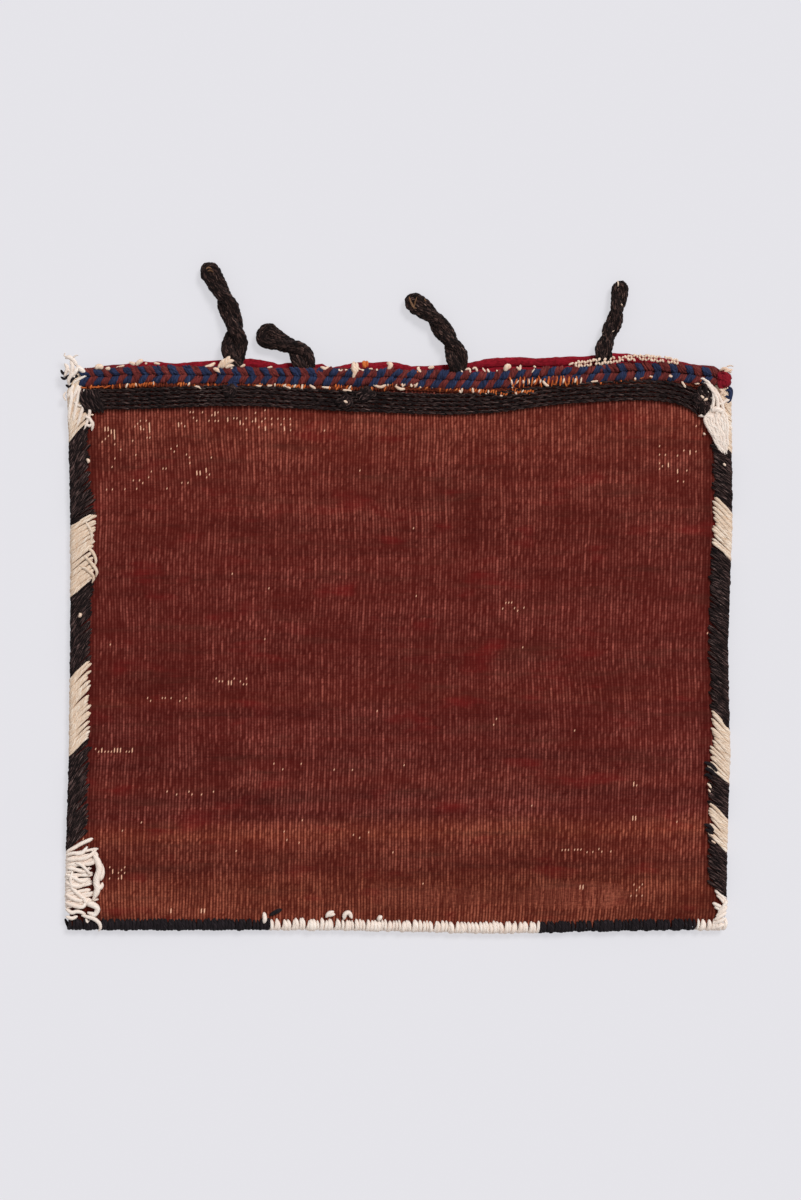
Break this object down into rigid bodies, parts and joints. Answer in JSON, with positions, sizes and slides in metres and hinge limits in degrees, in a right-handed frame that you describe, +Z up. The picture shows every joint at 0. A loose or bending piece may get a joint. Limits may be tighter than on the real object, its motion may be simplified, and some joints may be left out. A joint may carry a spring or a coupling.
{
  "type": "woven storage bag",
  "caption": "Flat woven wool storage bag lying flat: two panels overcast together on three sides, a pocket open at the mouth, and closure loops.",
  "frame": {"origin": "under the middle of the bag, on the surface it lies on, without the closure loops", "axes": "+Y towards the mouth, +X to the right seen from above, +Z up out of the face"},
  "size_m": [0.5221, 0.5243, 0.0231],
  "materials": {
    "brick_red_wool": "weft-faced flat weave, ribbed, matte",
    "crimson_wool": "plain weave, matte",
    "indigo_wool": "twined yarn, matte",
    "madder_wool": "twined yarn, matte",
    "orange_wool": "stitched yarn, matte",
    "black_goat_hair": "plied hair yarn, slight sheen",
    "white_cotton_yarn": "plied yarn, matte",
    "loop_goat_hair": "braided hair cord, slight sheen"
  },
  "bodies": {
    "root": {"front_panel": "brick_red_wool", "back_panel": "crimson_wool", "back_mouth_roll": "crimson_wool", "mouth_twine_upper": "indigo_wool", "mouth_twine_lower": "madder_wool", "orange_stitch_row": "orange_wool", "black_cord_1": "black_goat_hair", "black_cord_2": "black_goat_hair", "black_cord_3": "black_goat_hair", "black_cord_4": "black_goat_hair", "black_cord_5": "black_goat_hair", "cord_end_left": "black_goat_hair", "cord_knot_middle": "black_goat_hair", "cord_end_right": "black_goat_hair", "left_wrap_1_white": "white_cotton_yarn", "left_wrap_2_black": "black_goat_hair", "left_wrap_3_white": "white_cotton_yarn", "left_wrap_4_black": "black_goat_hair", "left_wrap_5_white": "white_cotton_yarn", "left_wrap_6_black": "black_goat_hair", "left_wrap_7_tangle": "white_cotton_yarn", "right_wrap_1_white": "white_cotton_yarn", "right_wrap_2_black": "black_goat_hair", "right_wrap_3_white": "white_cotton_yarn", "right_wrap_4_black": "black_goat_hair", "right_wrap_5_white": "white_cotton_yarn", "right_wrap_6_black": "black_goat_hair", "right_wrap_7_white": "white_cotton_yarn", "right_wrap_8_black": "black_goat_hair", "right_wrap_9_corner": "white_cotton_yarn", "bottom_wrap_black_left": "black_goat_hair", "bottom_wrap_white": "white_cotton_yarn", "bottom_wrap_black_right": "black_goat_hair", "bottom_wrap_corner": "white_cotton_yarn", "left_corner_tuft": "white_cotton_yarn", "right_corner_lump": "crimson_wool", "loop_1": "loop_goat_hair", "loop_2": "loop_goat_hair", "loop_3": "loop_goat_hair", "loop_4": "loop_goat_hair"}
  },
  "joints": []
}
